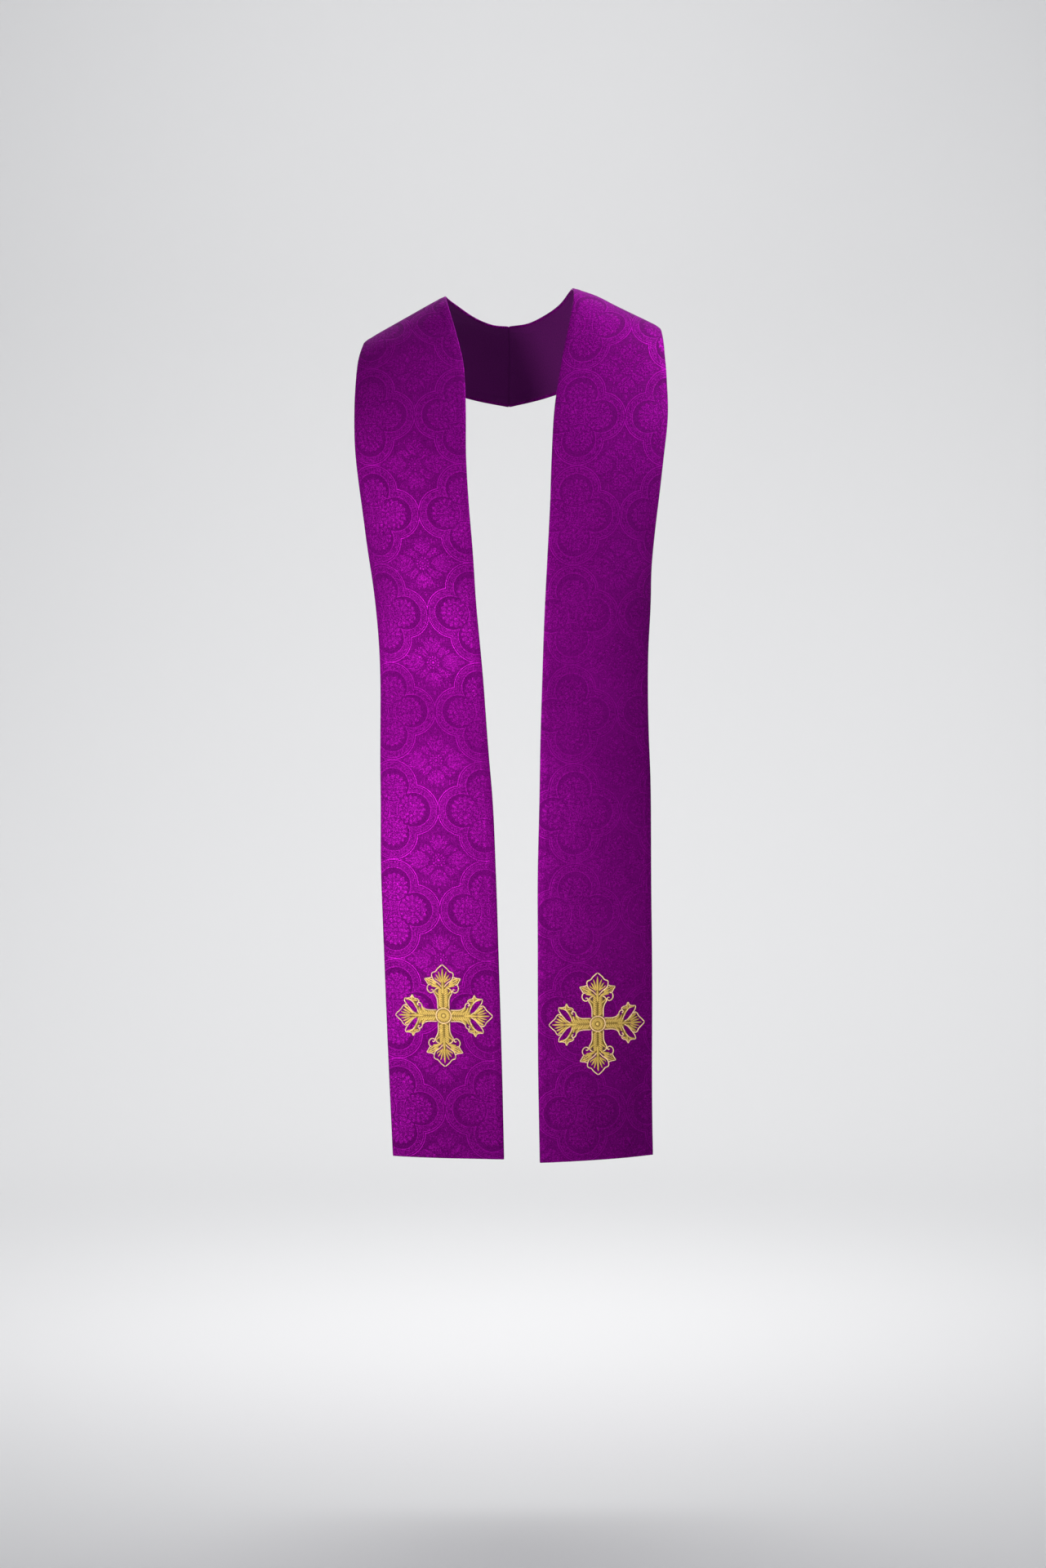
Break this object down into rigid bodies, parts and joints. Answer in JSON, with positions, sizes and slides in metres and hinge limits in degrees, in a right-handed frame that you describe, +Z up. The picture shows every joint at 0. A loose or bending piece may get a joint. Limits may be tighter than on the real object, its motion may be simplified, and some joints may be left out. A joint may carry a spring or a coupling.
{
  "type": "clerical stole",
  "caption": "Purple brocade clerical stole in its worn shape: tapered halves seamed at the nape, hanging in front, each with an embroidered gold cross near the hem.",
  "frame": {"origin": "top of the centre-back seam, on the cloth's inner face, where the nape of the neck holds the stole", "axes": "+Z up along the wearer, +X towards the wearer's left, the wearer faces -Y"},
  "size_m": [0.3875, 0.2029, 1.0812],
  "materials": {
    "purple_brocade": "tone-on-tone silk brocade with satin motifs on a finer ground",
    "gold_thread": "satin-stitched metallic gold embroidery with a paler raised border"
  },
  "bodies": {
    "root": {"left_half": "purple_brocade", "right_half": "purple_brocade", "left_cross": "gold_thread", "right_cross": "gold_thread"}
  },
  "joints": []
}
